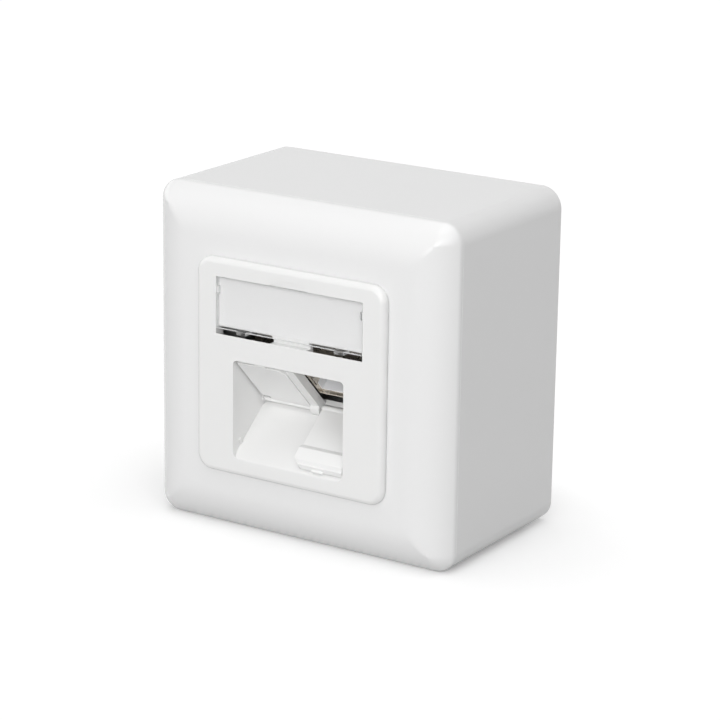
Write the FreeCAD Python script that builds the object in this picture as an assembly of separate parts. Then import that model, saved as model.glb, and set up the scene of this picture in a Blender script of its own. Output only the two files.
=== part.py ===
"""Surface-mount network outlet: a 79 mm square box that screws to a wall, a cover frame, a 50 mm
centre plate with a label window and two dust shutters, and a shielded double jack module inside.

Frame: origin at the centre of the box's back face, on the wall. X right, Z up, front towards -Y.
A place is given as (x, h, z), where h is the height above the wall, so Y = -h. Millimetres."""
import FreeCAD, Part
import math
import os

V = FreeCAD.Vector
os.makedirs("parts", exist_ok=True)

# ---- overall -------------------------------------------------------------------------------
FRAME_SIZE = 78.6            # cover frame, square
FRAME_CORNER_R = 4.7
BOX_DEPTH = 42.5             # wall to the front edge of the box
BOX_MARGIN = 0.3             # how far the box stands past the frame, each side
FRAME_RISE = 6.3             # back of the rim to the flat land of the frame
PLATE_PROUD = 1.85           # centre plate above that land
PLATE_SIZE = 50.0
FIXING_SPACING = 60.0        # wall slots, and support-plate screws
SEAT_GAP = 0.05              # clearance of a pressed or screwed fit
SLIDE_GAP = 0.2              # clearance between moulded pieces that lift apart
JOIN = 0.5                   # how far a feature runs into the piece that it grows from

# ---- box -----------------------------------------------------------------------------------
BOX_WALL = 2.2
BOX_BACK = 2.5
BOX_CORNER_R = 5.0
WALL_SLOT_WIDTH = 4.5
WALL_SLOT_LENGTH = 8.5
CABLE_HOLE_R = 9.5
CABLE_HOLE_Z = -14.0
KNOCKOUT_WIDTH = 18.0
KNOCKOUT_DEPTH = 14.0
KNOCKOUT_SKIN = 0.8
KNOCKOUT_GROOVE = 1.0        # how far the thinned patch reaches into the box
BOSS_R = 4.0
BOSS_WEB = 2.4
WALL_RIB = 1.2               # ribs that stiffen the two side walls
WALL_RIB_X = 14.0

# ---- cover frame ---------------------------------------------------------------------------
FRAME_WALL = 1.6
RIM_SIDE = 0.3               # straight side of the rim below its rounding
RIM_R = 1.8
BEVEL_WIDTH = 9.9            # from the outer edge to the flat land
PLATE_LAP = 1.5              # how far the centre plate covers the frame, each side
FRAME_OPENING_R = 2.5
SKIRT_WALL = 1.5
SKIRT_GAP = 0.7              # from the frame's inner skirt to the module's flange
LUG_LENGTH = 10.0            # tabs that centre the frame in the box
LUG_WALL = 1.2
LUG_DEPTH = 2.2
LUG_OFFSET = 22.0

# ---- support plate and screws --------------------------------------------------------------
SUPPORT_MARGIN = 2.5         # from the plate's edge to the box's wall
SUPPORT_THICK = 1.2
SUPPORT_CHAMFER = 8.0
SUPPORT_DROP = 2.2           # from the box's front edge to the bosses that carry the plate
SUPPORT_SLOT_WIDTH = 4.2
SUPPORT_SLOT_LENGTH = 8.0
SCREW_R = 1.6
SCREW_HEAD_R = 3.1
SCREW_HEAD = 2.0
SCREW_LENGTH = 12.0
SMALL_SCREW_R = 1.25
SMALL_HEAD_R = 2.2
SMALL_HEAD = 1.5
DRIVE_REACH = 0.62           # cross recess: reach, arm and depth as shares of the head
DRIVE_ARM = 0.13
DRIVE_DEPTH = 0.65
SCREW_END = 1.0              # how far a screw reaches past what it holds

# ---- centre plate --------------------------------------------------------------------------
PLATE_CORNER_R = 3.8
PLATE_EDGE_R = 1.4
PLATE_SKIN = 1.6
PLATE_RIM = 2.4
PLATE_SKIRT_WALL = 1.2
LABEL_WIDTH = 39.0
LABEL_LOW = 7.65             # lower and upper edge of the label recess, above the centre
LABEL_HIGH = 20.9
LABEL_DEPTH = 1.7
LABEL_SLOT = 1.2             # height of the two slots below the window
LABEL_SLOT_DROP = 1.6        # how far the slots' lower walls fall away towards the back
LABEL_BRIDGE = 9.8           # width left between the slots
NOTCH_WIDTH = 10.0           # finger notch above the window
NOTCH_RISE = 1.5
NOTCH_DEPTH = 0.9
WINDOW_GAP = 0.1
CARD_THICK = 0.3
CARD_INSET = 0.4
HOOK_X = 13.0
HOOK_WIDTH = 2.4
HOOK_REACH = 2.4
HOOK_THICK = 0.8
HOOK_SETBACK = 0.5           # hooks below the window's face
LABEL_CORNER_R = 0.3
LABEL_BACKING = 1.1          # wall behind the card
PLATE_SCREW_R = 1.5
PLATE_SCREW_LENGTH = 5.4
PLATE_SCREW_HEAD_R = 2.7
PLATE_SCREW_HEAD = 1.6
BOSS_FLOOR = 1.3
BOSS_WALL = 1.4
NIB_LOW = 17.0               # nib in the recess's side wall that the window clicks past
NIB_LENGTH = 1.5
NIB_REACH = 0.5

# ---- ports ---------------------------------------------------------------------------------
PORT_MARGIN = 0.3            # from a jack's shield to the side of the opening
OPENING_HIGH = 2.15          # upper edge of the port opening
OPENING_CORNER_R = 1.0
OPENING_LOW_R = 2.2
RECESS_WALL = 1.5
RECESS_FLOOR = 1.5
FLOOR_ANGLE = 39.6           # slope of the recess floor below the horizontal
JACK_ANGLE = 45.0            # slope of the ports
RIB_WIDTH = 2.4              # partition between the two ports
RIB_FACE = 0.5
RIB_BACK = 1.5
RIB_START = 1.6
RECESS_BACK = 1.0            # how far the recess walls reach behind the closed shutters
LIP_R = 0.8                  # rounding between the recess floor and the face
HINGE_DEPTH = 12.5           # hinge line of the shutters below the face, and its Z
HINGE_Z = -9.45
SHUTTER_THICK = 1.2
SHUTTER_TIP_GAP = 0.07       # from the closed shutter's nub to the edge of the opening
SHUTTER_GAP_OUT = 0.4        # end gap to the recess wall
SHUTTER_GAP_IN = 0.25        # end gap to the partition
BARREL_R = 0.85
PIN_R = 0.6
PIN_LENGTH = 0.9
PIN_CLEARANCE = 0.06
PIN_END = 0.2                # end clearance of a pin in its hole
TROUGH_GAP = 0.3
TROUGH_WALL = 1.2
LUG_R = 1.75
FLOOR_GAP = 0.2              # between the open shutter and the floor
FLOOR_START = 1.57           # where the raised floor begins, along the slope from the hinge
GRIP_LENGTH = 5.2
GRIP_HEIGHT = 1.0
GRIP_RAMP = 1.3
GRIP_NOSE = 0.9
GRIP_FALL = 0.35
NUB_WIDTH = 2.9
NUB_LENGTH = 0.75
SHUTTER_LEAN = 0.4           # how much further its outer face reaches than its inner face
HINGE_SLIT = 2.2             # notch beside the hinge at the outer end: width and length
SLIT_LENGTH = 1.0
SHUTTER_CLIP = 1.3           # clipped corner of the free end, beside the partition
DETENT_PLACE = 12.1          # ridges on the side walls that hold an open shutter down
DETENT_LENGTH = 0.8
DETENT_HEIGHT = 1.6
DETENT_REACH = 0.3

# ---- jacks, in the frame of the ports: u up the slope from the hinge, n out of the port ----
PLUG_WIDTH = 11.8
PLUG_HEIGHT = 6.8
INSERT_WALL = 0.33
INSERT_FLOOR = 0.38
INSERT_ROOF = 1.27           # above the latch channel
INSERT_GAP = 0.02            # clearance of the insert in its shield
SHIELD_WALL = 0.35
SHIELD_SPACING = 2.5         # between the two shields
SHIELD_LOW = 4.0
SHIELD_FACE = -1.8
SHIELD_LIP = 0.9             # how far the shield stands past the insert
LATCH_WIDTH = 6.2
LATCH_HEIGHT = 1.7
PLUG_DEPTH = 11.0
CONTACT_COUNT = 8
CONTACT_PITCH = 1.02
CONTACT_WIDTH = 0.45
CONTACT_THICK = 0.35
CONTACT_SETBACK = 4.5        # from the insert's face to the contacts' front ends
CONTACT_TIP = 1.2
CONTACT_RISE = 2.55
SPRING_WIDTH = 2.2
SPRING_LENGTH = 5.0
SPRING_CUT = 0.25
SPRING_PLACE = 0.62          # share of the shield's height at which the finger lies

# ---- module --------------------------------------------------------------------------------
BOARD_FACE = -16.0
BOARD_STANDOFF = 0.4         # from the jacks' backs to the board
BOARD_THICK = 1.6
BOARD_MARGIN = 0.5           # from the board's edge to the housing
BOARD_LOW = -3.0
HOUSING_WALL = 1.5
HOUSING_GAP = 0.3            # from the plate's recess walls to the housing
HOUSING_LOW = -4.6
HOUSING_TOP = 21.5
HOUSING_FRONT = -3.6
HOUSING_LIP = 1.4            # how far the housing reaches past the board
FLANGE_THICK = 2.0
FLANGE_EDGE = 1.9            # from the module screws to the flange's edge
FLANGE_RIM = 1.6             # flange left below the module's window
FLANGE_LAP = 2.6             # how far the flange overlaps the support plate above it
WINDOW_MARGIN = 2.0          # from the port opening's lower edge to the module's window
MODULE_GAP = 0.6             # from the housing's top to the support plate
JACK_CLEAR = 1.0             # from the jacks to the flange above them
POST_R = 3.4
POST_DEPTH = 2.6             # below the flange
POST_GAP = 0.7               # from the board to the post
COVER_MARGIN = 1.15          # beside the cable mouths
COVER_WALL = 1.2
BLOCK_WIDTH = 11.0
BLOCK_HEIGHT = 13.0
BLOCK_DEPTH = 9.0
BLOCK_LOW = 3.0
BLOCK_CHANNEL = 3.0          # channel between the two rows of wire slots, and its floor
BLOCK_FLOOR = 3.0
WIRE_SLOT = 1.2
WIRE_SLOT_FLOOR = 4.5
CABLE_R = 3.9
CLAMP_WIDTH = 6.0
CLAMP_THICK = 0.8
CLAMP_BEND = 2.2             # slanted corners of the folded strap

# ---- worked out ----------------------------------------------------------------------------
LAND = BOX_DEPTH + FRAME_RISE
FACE = LAND + PLATE_PROUD
BOX_SIZE = FRAME_SIZE + 2 * BOX_MARGIN
BOX_INNER = BOX_SIZE - 2 * BOX_WALL
FIXING = FIXING_SPACING / 2
FRAME_OPENING = PLATE_SIZE - 2 * PLATE_LAP
SUPPORT_SEAT = BOX_DEPTH - SUPPORT_DROP
SUPPORT_FACE = SUPPORT_SEAT + SUPPORT_THICK
FLANGE_FACE = SUPPORT_FACE + FLANGE_THICK
SKIRT_BACK = FLANGE_FACE + SKIRT_GAP
PLATE_SKIRT_BACK = FLANGE_FACE + SMALL_HEAD + SLIDE_GAP
PLATE_SCREW_Z = (LABEL_LOW + LABEL_HIGH) / 2

SHIELD_WIDTH = PLUG_WIDTH + 2 * (INSERT_WALL + INSERT_GAP + SHIELD_WALL)
SHIELD_TOP = SHIELD_LOW + PLUG_HEIGHT + LATCH_HEIGHT + INSERT_FLOOR + INSERT_ROOF + 2 * INSERT_GAP
PLUG_LOW = SHIELD_LOW + SHIELD_WALL + INSERT_GAP + INSERT_FLOOR
PORT_PITCH = SHIELD_WIDTH + SHIELD_SPACING
PORTS = {"left": -PORT_PITCH / 2, "right": PORT_PITCH / 2}
INSERT_FACE = SHIELD_FACE - SHIELD_LIP
INSERT_BACK = BOARD_FACE + BOARD_STANDOFF
OPENING = (PORT_PITCH + SHIELD_WIDTH) / 2 + PORT_MARGIN
RECESS_HALF = OPENING + RECESS_WALL

HINGE_H = FACE - HINGE_DEPTH
COS_JACK = math.cos(math.radians(JACK_ANGLE))
SIN_JACK = math.sin(math.radians(JACK_ANGLE))
COS_FLOOR = math.cos(math.radians(FLOOR_ANGLE))
TAN_FLOOR = math.tan(math.radians(FLOOR_ANGLE))
HALF_THICK = SHUTTER_THICK / 2
FLOOR_LEVEL = -(HALF_THICK + FLOOR_GAP)
SHUTTER_LENGTH = (OPENING_HIGH - HINGE_Z) / SIN_JACK - NUB_LENGTH - SHUTTER_TIP_GAP
GRIP_START = SHUTTER_LENGTH - GRIP_LENGTH

HOUSING_INNER = RECESS_HALF + HOUSING_GAP
HOUSING_HALF = HOUSING_INNER + HOUSING_WALL
HOUSING_BACK = BOARD_FACE - BOARD_THICK - HOUSING_LIP
POST_BACK = SUPPORT_FACE - POST_DEPTH
BOARD_HIGH = min((POST_BACK - POST_GAP - HINGE_H - BOARD_FACE * SIN_JACK) / COS_JACK,
                 HOUSING_TOP - HOUSING_WALL - BOARD_MARGIN)
MODULE_SCREW_X = HOUSING_HALF + SMALL_HEAD_R + SLIDE_GAP
COVER_DEPTH = 2 * (CABLE_R + COVER_WALL + COVER_MARGIN)
CABLE_N = HOUSING_BACK - COVER_DEPTH / 2


def floor_z(h, level=FLOOR_LEVEL):
    """Z of a plane along the recess floor, at the height h above the wall."""
    return HINGE_Z + level / COS_FLOOR - (h - HINGE_H) * TAN_FLOOR


def port_z(u, h):
    """Z at which a plane square to the slope, u from the hinge line, passes the height h."""
    return HINGE_Z + u / SIN_JACK - (h - HINGE_H) * COS_JACK / SIN_JACK


LIP_H = FACE - LIP_R                                # centre of the rounding at the lip
LIP_Z = floor_z(LIP_H, FLOOR_LEVEL - LIP_R)
MODULE_WINDOW_LOW = LIP_Z - WINDOW_MARGIN
MODULE_WINDOW_HIGH = max(port_z(HOUSING_TOP, SUPPORT_SEAT), PLATE_SCREW_Z + POST_R) + MODULE_GAP


# ---- drawing -------------------------------------------------------------------------------
def at(x, h, z):
    """A point given by its height above the wall."""
    return V(x, -h, z)


def slab(x0, x1, h0, h1, z0, z1):
    """A block between two corners."""
    return Part.makeBox(x1 - x0, h1 - h0, z1 - z0, at(x0, h1, z0))


def block_about(width, height, h0, h1, x=0.0, z=0.0):
    """A block centred on (x, z), from h0 to h1 above the wall."""
    return slab(x - width / 2, x + width / 2, h0, h1, z - height / 2, z + height / 2)


def upright_edges(shape):
    """The edges that stand square to the wall."""
    return [e for e in shape.Edges if abs(e.Vertexes[0].Y - e.Vertexes[-1].Y) > 1e-6]


def rounded(width, height, radius, h0, h1, x=0.0, z=0.0):
    """The same block with its upright edges rounded."""
    block = block_about(width, height, h0, h1, x, z)
    return block.makeFillet(radius, upright_edges(block))


def rod(radius, h0, h1, x, z):
    """A round bar square to the wall."""
    return Part.makeCylinder(radius, h1 - h0, at(x, h1, z), V(0, 1, 0))


def slot(width, length, h0, h1, x, z, upright=False):
    """A slotted hole's inside, square to the wall."""
    reach = (length - width) / 2
    dx, dz = (0, reach) if upright else (reach, 0)
    ends = [rod(width / 2, h0, h1, x + s * dx, z + s * dz) for s in (-1, 1)]
    half_x, half_z = (width / 2, reach) if upright else (reach, width / 2)
    return slab(x - half_x, x + half_x, h0, h1, z - half_z, z + half_z).fuse(ends).removeSplitter()


def extrude_section(points, x0, x1):
    """A section drawn as (h, z) points, drawn out along X."""
    wire = Part.makePolygon([at(x0, h, z) for h, z in points] + [at(x0, *points[0])])
    return Part.Face(wire).extrude(V(x1 - x0, 0, 0))


def join(first, *others):
    """One solid from several."""
    return first.fuse(list(others)).removeSplitter()


def sloped(angle):
    """A function from (along, across) beside the hinge line to (h, z), at an angle above level."""
    c = math.cos(math.radians(angle))
    s = math.sin(math.radians(angle))
    return lambda along, across: (HINGE_H + along * c - across * s, HINGE_Z + along * s + across * c)


def into_port(shape):
    """Turns a shape drawn with X, Y = u and Z = n into its place beside the hinge line."""
    placed = shape.copy()
    placed.rotate(V(0, 0, 0), V(1, 0, 0), 90 + JACK_ANGLE)
    placed.translate(at(0, HINGE_H, HINGE_Z))
    return placed


def port_block(x0, x1, u0, u1, n0, n1):
    """A block in the frame of the ports, before it is turned."""
    return Part.makeBox(x1 - x0, u1 - u0, n1 - n0, V(x0, u0, n0))


def along_x(points, x0, x1):
    """A section drawn as (u, n) points, drawn out along X, before it is turned."""
    wire = Part.makePolygon([V(x0, u, n) for u, n in points + points[:1]])
    return Part.Face(wire).extrude(V(x1 - x0, 0, 0))


def screw(radius, length, head_r, head, x, h, z):
    """A screw whose head seats at height h, with a cross recess."""
    body = join(rod(radius, h - length, h, x, z), rod(head_r, h, h + head, x, z))
    reach = 2 * head_r * DRIVE_REACH
    arm = 2 * head_r * DRIVE_ARM
    low = h + head * (1 - DRIVE_DEPTH)
    high = h + head + 1
    return body.cut([block_about(reach, arm, low, high, x, z), block_about(arm, reach, low, high, x, z)])


# ---- box -----------------------------------------------------------------------------------
def back_box():
    """Moulded box, open in front, with two screw bosses, wall slots, a cable hole and knock-outs."""
    body = rounded(BOX_SIZE, BOX_SIZE, BOX_CORNER_R, 0, BOX_DEPTH)
    body = body.cut(rounded(BOX_INNER, BOX_INNER, BOX_CORNER_R - BOX_WALL, BOX_BACK, BOX_DEPTH + 1))
    root = BOX_BACK - JOIN
    wall = BOX_INNER / 2
    ribs_high = SUPPORT_SEAT - SUPPORT_DROP
    for side in (-1, 1):
        boss = rod(BOSS_R, root, SUPPORT_SEAT, side * FIXING, 0)
        x = side * FIXING
        web_ends = sorted((x, side * (wall + JOIN)))
        rib_ends = sorted((side * (wall - WALL_RIB), side * (wall + JOIN)))
        web = slab(*web_ends, root, ribs_high, -BOSS_WEB / 2, BOSS_WEB / 2)
        ribs = [slab(*rib_ends, root, ribs_high, z - WALL_RIB / 2, z + WALL_RIB / 2)
                for z in (-WALL_RIB_X, WALL_RIB_X)]
        body = join(body, boss, web, *ribs)
        patch = sorted((side * (wall - KNOCKOUT_GROOVE), side * (BOX_SIZE / 2 - KNOCKOUT_SKIN)))
        body = body.cut([
            rod(SCREW_R + SEAT_GAP, SUPPORT_FACE - SCREW_LENGTH - 1, BOX_DEPTH, x, 0),
            slot(WALL_SLOT_WIDTH, WALL_SLOT_LENGTH, -1, BOX_BACK + 1, 0, x, upright=True),
            slab(-KNOCKOUT_WIDTH / 2, KNOCKOUT_WIDTH / 2, BOX_BACK, BOX_BACK + KNOCKOUT_DEPTH, *patch)])
    return body.cut(rod(CABLE_HOLE_R, -1, BOX_BACK + 1, 0, CABLE_HOLE_Z))


# ---- cover frame ---------------------------------------------------------------------------
def module_screw_places():
    """(x, z) of the two screws that hold the module, one each side."""
    return [(-MODULE_SCREW_X, 0), (MODULE_SCREW_X, 0)]


def crown(inset, h_low, plain=False):
    """The frame's outer form as one closed block, or its hollow when inset by the wall.

    The section is the rim's side, its rounding, and one wide arc to the flat land. It is turned
    about each corner's centre and drawn along each side. Inside the corner's radius the sides
    run on to a mitre. A plain one has straight lines in place of the arcs."""
    half = FRAME_SIZE / 2
    centre = half - FRAME_CORNER_R
    land_x = half - BEVEL_WIDTH
    rim_top = BOX_DEPTH + RIM_SIDE
    drop = LAND - rim_top
    run = BEVEL_WIDTH - RIM_R
    wide_r = (run ** 2 + drop ** 2 - RIM_R ** 2) / (2 * (drop - RIM_R))
    tilt = math.atan2(run, wide_r - drop)            # where the rounding meets the wide arc
    small_r = RIM_R - inset
    large_r = wide_r - inset
    stop = math.asin((centre - land_x) / large_r)    # where the wide arc passes the corner's centre

    def rounding(share):
        angle = share * (math.pi / 2 - tilt)
        return at(half - RIM_R + small_r * math.cos(angle), rim_top + small_r * math.sin(angle), 0)

    def bevel(angle):
        return at(land_x + large_r * math.sin(angle), LAND - wide_r + large_r * math.cos(angle), 0)

    def curve(start, middle, end):
        if plain:
            return [Part.makeLine(start, middle), Part.makeLine(middle, end)]
        return [Part.Arc(start, middle, end).toShape()]

    meet = bevel(stop)
    foot = at(half - inset, h_low, 0)
    inner_foot = at(centre, h_low, 0)
    ring = [Part.makeLine(foot, rounding(0)), *curve(rounding(0), rounding(0.5), rounding(1)),
            *curve(rounding(1), bevel((tilt + stop) / 2), meet), Part.makeLine(meet, inner_foot),
            Part.makeLine(inner_foot, foot)]
    side = Part.Face(Part.Wire(ring))
    corner = side.copy()
    corner.translate(V(0, 0, centre))
    corner = corner.revolve(V(centre, 0, centre), V(0, 1, 0), -90)
    side.translate(V(0, 0, -centre))
    side = side.extrude(V(0, 0, 2 * centre))

    right = [meet, bevel(stop / 2), bevel(0)]
    left = [V(-p.x, p.y, 0) for p in reversed(right)]
    far_foot = at(-centre, h_low, 0)
    roof = [*curve(*right), Part.makeLine(right[2], left[0]), *curve(*left),
            Part.makeLine(left[2], far_foot), Part.makeLine(far_foot, inner_foot),
            Part.makeLine(inner_foot, meet)]
    along = Part.Face(Part.Wire(roof))
    along.translate(V(0, 0, -centre))
    along = along.extrude(V(0, 0, 2 * centre))
    across = along.copy()
    across.rotate(V(0, 0, 0), V(0, 1, 0), 90)
    pieces = []
    for turn in range(4):
        for piece in (side, corner):
            placed = piece.copy()
            placed.rotate(V(0, 0, 0), V(0, 1, 0), 90 * turn)
            pieces.append(placed)
    return join(along.common(across), *pieces)


def cover_frame():
    """Domed square frame, hollow behind, held between the centre plate and the support plate."""
    body = crown(0, BOX_DEPTH).cut(crown(FRAME_WALL, BOX_DEPTH - 1, plain=True))
    outside = FRAME_OPENING + 2 * SKIRT_WALL
    skirt = rounded(outside, outside, FRAME_OPENING_R + SKIRT_WALL, SKIRT_BACK, LAND - FRAME_WALL + JOIN)
    reach = BOX_INNER / 2 - SLIDE_GAP
    within = crown(FRAME_WALL / 2, BOX_DEPTH - LUG_DEPTH, plain=True)
    tabs = []
    for turn in range(4):
        for offset in (-LUG_OFFSET, LUG_OFFSET):
            tab = slab(offset - LUG_LENGTH / 2, offset + LUG_LENGTH / 2, BOX_DEPTH - LUG_DEPTH, LAND,
                       reach - LUG_WALL, reach)
            tab.rotate(V(0, 0, 0), V(0, 1, 0), 90 * turn)
            tabs.append(tab.common(within))
    opening = rounded(FRAME_OPENING, FRAME_OPENING, FRAME_OPENING_R, SKIRT_BACK - 1, FACE)
    heads = [rod(SMALL_HEAD_R + SLIDE_GAP, FLANGE_FACE, PLATE_SKIRT_BACK, x, z)
             for x, z in module_screw_places()]
    return join(body, skirt, *tabs).cut([opening, *heads])


# ---- support plate -------------------------------------------------------------------------
def support_plate():
    """Stamped steel plate with two slots for the box's screws and a window for the module."""
    size = BOX_INNER - 2 * SUPPORT_MARGIN
    body = block_about(size, size, SUPPORT_SEAT, SUPPORT_FACE)
    body = body.makeChamfer(SUPPORT_CHAMFER, upright_edges(body))
    through = (SUPPORT_SEAT - 1, SUPPORT_FACE + 1)
    side = HOUSING_HALF + SLIDE_GAP
    cuts = [slab(-side, side, *through, MODULE_WINDOW_LOW, MODULE_WINDOW_HIGH)]
    cuts += [slot(SUPPORT_SLOT_WIDTH, SUPPORT_SLOT_LENGTH, *through, x, 0, upright=True)
             for x in (-FIXING, FIXING)]
    cuts += [rod(SMALL_SCREW_R + SEAT_GAP, *through, x, z) for x, z in module_screw_places()]
    return body.cut(cuts)


def support_screws():
    """The two screws that hold the support plate to the box's bosses."""
    return Part.makeCompound([screw(SCREW_R, SCREW_LENGTH, SCREW_HEAD_R, SCREW_HEAD, x, SUPPORT_FACE, 0)
                              for x in (-FIXING, FIXING)])


def module_screws():
    """Two small screws through the module's flange into the support plate."""
    length = FLANGE_THICK + SUPPORT_THICK + SCREW_END
    return Part.makeCompound([screw(SMALL_SCREW_R, length, SMALL_HEAD_R, SMALL_HEAD, x, FLANGE_FACE, z)
                              for x, z in module_screw_places()])


# ---- centre plate --------------------------------------------------------------------------
def plate_panel():
    """The 50 mm panel with rounded edges, its hollow back and its locating skirt."""
    panel = rounded(PLATE_SIZE, PLATE_SIZE, PLATE_CORNER_R, LAND, FACE)
    front = [e for e in panel.Edges if all(abs(v.Y + FACE) < 1e-6 for v in e.Vertexes)]
    panel = panel.makeFillet(PLATE_EDGE_R, front)
    inner = PLATE_SIZE - 2 * PLATE_RIM
    back = FACE - PLATE_SKIN
    panel = panel.cut(block_about(inner, inner, LAND - 1, back))
    outer = FRAME_OPENING - 2 * SLIDE_GAP
    hollow = outer - 2 * PLATE_SKIRT_WALL
    skirt = rounded(outer, outer, FRAME_OPENING_R - SLIDE_GAP, PLATE_SKIRT_BACK, back + SEAT_GAP)
    skirt = skirt.cut(block_about(hollow, hollow, PLATE_SKIRT_BACK - 1, FACE))
    return join(panel, skirt)


def label_recess(plate):
    """Cuts the label's recess, its two slots and the finger notch, and adds the screw boss behind."""
    middle = (LABEL_LOW + LABEL_HIGH) / 2
    height = LABEL_HIGH - LABEL_LOW
    floor_h = FACE - LABEL_DEPTH
    half = LABEL_WIDTH / 2
    back = floor_h - LABEL_BACKING
    backing = block_about(LABEL_WIDTH + 2, height + 2, back, FACE - PLATE_SKIN + SEAT_GAP, 0, middle)
    boss = rod(PLATE_SCREW_HEAD_R + BOSS_WALL, FLANGE_FACE + SEAT_GAP, back + SEAT_GAP, 0, PLATE_SCREW_Z)
    plate = join(plate, backing, boss)
    recess = rounded(LABEL_WIDTH, height, LABEL_CORNER_R, floor_h, FACE + 1, 0, middle)
    nibs = [slab(*sorted((side * (half - NIB_REACH), side * (half + 1))), floor_h, FACE - HOOK_SETBACK,
                 NIB_LOW, NIB_LOW + NIB_LENGTH) for side in (-1, 1)]
    plate = plate.cut(recess.cut(nibs))
    slot_section = [(FACE, LABEL_LOW), (FACE, LABEL_LOW + LABEL_SLOT), (back - 1, LABEL_LOW + LABEL_SLOT),
                    (back - 1, LABEL_LOW - LABEL_SLOT_DROP)]
    for side in (-1, 1):
        plate = plate.cut(extrude_section(slot_section, *sorted((side * LABEL_BRIDGE / 2, side * half))))
    arc_r = (NOTCH_WIDTH ** 2 / 4 + NOTCH_RISE ** 2) / (2 * NOTCH_RISE)
    notch = rod(arc_r, FACE - NOTCH_DEPTH, FACE + 1, 0, LABEL_HIGH + NOTCH_RISE - arc_r)
    above = slab(-NOTCH_WIDTH, NOTCH_WIDTH, LAND, FACE + 1, LABEL_HIGH - JOIN, LABEL_HIGH + 2 * NOTCH_RISE)
    head_seat = rod(PLATE_SCREW_HEAD_R + SLIDE_GAP, FLANGE_FACE + BOSS_FLOOR, FACE, 0, PLATE_SCREW_Z)
    hole = rod(PLATE_SCREW_R + SLIDE_GAP, FLANGE_FACE - 1, FACE, 0, PLATE_SCREW_Z)
    return plate.cut([notch.common(above), head_seat, hole])


def trough_section(x):
    """Section of the trough round the shutters' barrels, from the ports' slope to the floor."""
    inner_r = BARREL_R + TROUGH_GAP
    outer_r = inner_r + TROUGH_WALL
    start, stop = 90 + JACK_ANGLE, 270 - FLOOR_ANGLE

    def spoke(radius, angle):
        turn = math.radians(angle)
        return at(x, HINGE_H + radius * math.cos(turn), HINGE_Z + radius * math.sin(turn))

    middle = (start + stop) / 2
    inside = Part.Arc(spoke(inner_r, start), spoke(inner_r, middle), spoke(inner_r, stop)).toShape()
    outside = Part.Arc(spoke(outer_r, stop), spoke(outer_r, middle), spoke(outer_r, start)).toShape()
    return Part.Face(Part.Wire([inside, Part.makeLine(spoke(inner_r, stop), spoke(outer_r, stop)),
                                outside, Part.makeLine(spoke(outer_r, start), spoke(inner_r, start))]))


def recess_shell():
    """Walls, sloping floor and hinge trough that lie behind the port opening."""
    slope, floor = sloped(JACK_ANGLE), sloped(-FLOOR_ANGLE)
    lip = FACE - PLATE_SKIN / 2
    top_u = (lip - HINGE_H) / COS_JACK
    under = FLOOR_LEVEL - RECESS_FLOOR
    below = -(BARREL_R + TROUGH_GAP)
    axis = V(1, 0, 0)
    cheek = [slope(0, RECESS_BACK), slope(top_u - RECESS_BACK, RECESS_BACK),
             (lip, OPENING_HIGH + RECESS_BACK), (lip, floor_z(lip, under)), floor(0, under)]
    pieces = []
    for x in (-RECESS_HALF, OPENING):
        pieces.append(extrude_section(cheek, x, x + RECESS_WALL))
        pieces.append(Part.makeCylinder(TROUGH_WALL - below, RECESS_WALL, at(x, HINGE_H, HINGE_Z), axis))
    deck = [floor(FLOOR_START, FLOOR_LEVEL), (lip, floor_z(lip)), (lip, floor_z(lip, under)),
            floor(0, under), floor(0, below), floor(FLOOR_START, below)]
    pieces.append(extrude_section(deck, -RECESS_HALF, RECESS_HALF))
    pieces.append(trough_section(-RECESS_HALF).extrude(V(2 * RECESS_HALF, 0, 0)))
    return join(pieces[0], *pieces[1:])


def partition():
    """The rib between the two ports, with the round lug that carries the inner pins."""
    slope = sloped(JACK_ANGLE)
    top_u = (FACE - PLATE_SKIN / 2 - HINGE_H) / COS_JACK
    rib = [slope(RIB_START, -RIB_FACE), slope(top_u, -RIB_FACE), slope(top_u - RECESS_BACK, RIB_BACK),
           slope(JOIN, RIB_BACK)]
    lug = Part.makeCylinder(LUG_R, RIB_WIDTH, at(-RIB_WIDTH / 2, HINGE_H, HINGE_Z), V(1, 0, 0))
    return join(extrude_section(rib, -RIB_WIDTH / 2, RIB_WIDTH / 2), lug)


def detents():
    """Low ridges on the side walls, near the front of the recess floor."""
    floor = sloped(-FLOOR_ANGLE)
    low, high = FLOOR_LEVEL - RECESS_FLOOR / 2, FLOOR_LEVEL + DETENT_HEIGHT
    section = [floor(DETENT_PLACE, low), floor(DETENT_PLACE + DETENT_LENGTH, low),
               floor(DETENT_PLACE + DETENT_LENGTH, high), floor(DETENT_PLACE, high)]
    return [extrude_section(section, *sorted((side * (OPENING - DETENT_REACH), side * (OPENING + JOIN))))
            for side in (-1, 1)]


def recess_space():
    """The open space of the recess: a wedge between slope and floor, with a rounded lip in front."""
    slope, floor = sloped(JACK_ANGLE), sloped(-FLOOR_ANGLE)
    far = FACE + 2

    def lip(angle):
        turn = math.radians(angle)
        return (LIP_H + LIP_R * math.cos(turn), LIP_Z + LIP_R * math.sin(turn))

    corners = [lip(0), (far, LIP_Z), (far, OPENING_HIGH), (FACE - JOIN, OPENING_HIGH),
               (FACE - PLATE_SKIN - RECESS_BACK, OPENING_HIGH + JOIN), slope(RECESS_BACK, RECESS_BACK),
               floor(FLOOR_START, FLOOR_LEVEL), lip(90 - FLOOR_ANGLE)]
    points = [at(-OPENING, h, z) for h, z in corners]
    rounding = Part.Arc(points[-1], at(-OPENING, *lip(45 - FLOOR_ANGLE / 2)), points[0]).toShape()
    edges = [Part.makeLine(a, b) for a, b in zip(points, points[1:])] + [rounding]
    return Part.Face(Part.Wire(edges)).extrude(V(2 * OPENING, 0, 0))


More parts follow.
